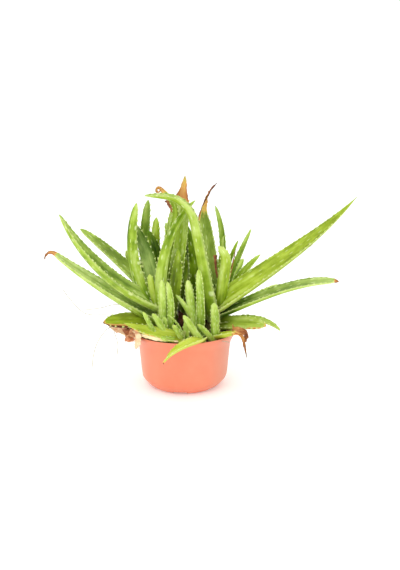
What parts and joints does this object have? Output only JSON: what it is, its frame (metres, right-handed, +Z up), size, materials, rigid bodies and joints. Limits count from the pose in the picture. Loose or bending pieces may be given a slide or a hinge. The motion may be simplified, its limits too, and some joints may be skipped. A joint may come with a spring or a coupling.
{
  "type": "potted aloe plant",
  "caption": "Crowded clump of aloe plants with long fleshy toothed leaves, dried tips and small offshoots, growing in soil in a low round plastic nursery pot.",
  "frame": {"origin": "middle of the pot's base, level with the foot that the pot stands on", "axes": "+Z up; +X to the right along the plant's longest spread, towards the longest leaf; -Y to the front, where the offshoots stand and two old leaves sink over the pot's edge"},
  "size_m": [0.3462, 0.1824, 0.2434],
  "materials": {
    "pot": "smooth satin plastic, salmon orange",
    "soil": "damp dark crumbly potting soil",
    "stem": "dull dry sheath",
    "leaf": "smooth satin leaf skin with pale flecks and teeth",
    "offshoot": "smooth satin young leaf skin with pale flecks and teeth",
    "withered_leaf": "satin leaf skin that turns dry and brown at its end"
  },
  "bodies": {
    "root": {"back_left_leaf_back": "leaf", "back_left_leaf_broad": "leaf", "back_left_leaf_low": "leaf", "back_left_leaf_middle": "leaf", "back_left_leaf_side": "leaf", "back_left_leaf_small": "leaf", "back_left_leaf_tall": "leaf", "back_left_stem": "stem", "back_right_leaf_back": "leaf", "back_right_leaf_inner": "leaf", "back_right_leaf_low": "leaf", "back_right_leaf_near": "leaf", "back_right_leaf_outer": "leaf", "back_right_leaf_side": "leaf", "back_right_leaf_tall": "leaf", "back_right_stem": "stem", "left_leaf_back": "leaf", "left_leaf_curved": "leaf", "left_leaf_heart": "leaf", "left_leaf_inner_right": "leaf", "left_leaf_leaning": "leaf", "left_leaf_low": "leaf", "left_leaf_lowest": "leaf", "left_leaf_pale": "leaf", "left_leaf_tall_withered": "withered_leaf", "left_leaf_thin_withered": "withered_leaf", "left_leaf_upright": "leaf", "left_stem": "stem", "middle_leaf_back_left": "leaf", "middle_leaf_back_low": "leaf", "middle_leaf_back_right": "leaf", "middle_leaf_front": "leaf", "middle_leaf_inner_left": "leaf", "middle_leaf_inner_right": "leaf", "middle_stem": "stem", "offshoot_back_left": "offshoot", "offshoot_back_right": "offshoot", "offshoot_front": "offshoot", "offshoot_front_left": "offshoot", "offshoot_front_old_leaf": "leaf", "offshoot_front_right": "offshoot", "offshoot_front_right_old_leaf": "leaf", "offshoot_left": "offshoot", "offshoot_middle": "offshoot", "offshoot_right": "offshoot", "offshoot_right_old_leaf": "leaf", "pot": "pot", "right_leaf_arching": "leaf", "right_leaf_brown_topped": "leaf", "right_leaf_drooping": "leaf", "right_leaf_dry_thread": "withered_leaf", "right_leaf_heart": "leaf", "right_leaf_hooked": "leaf", "right_leaf_long": "leaf", "right_leaf_low": "leaf", "right_leaf_short": "leaf", "right_stem": "stem", "soil": "soil"}
  },
  "joints": []
}
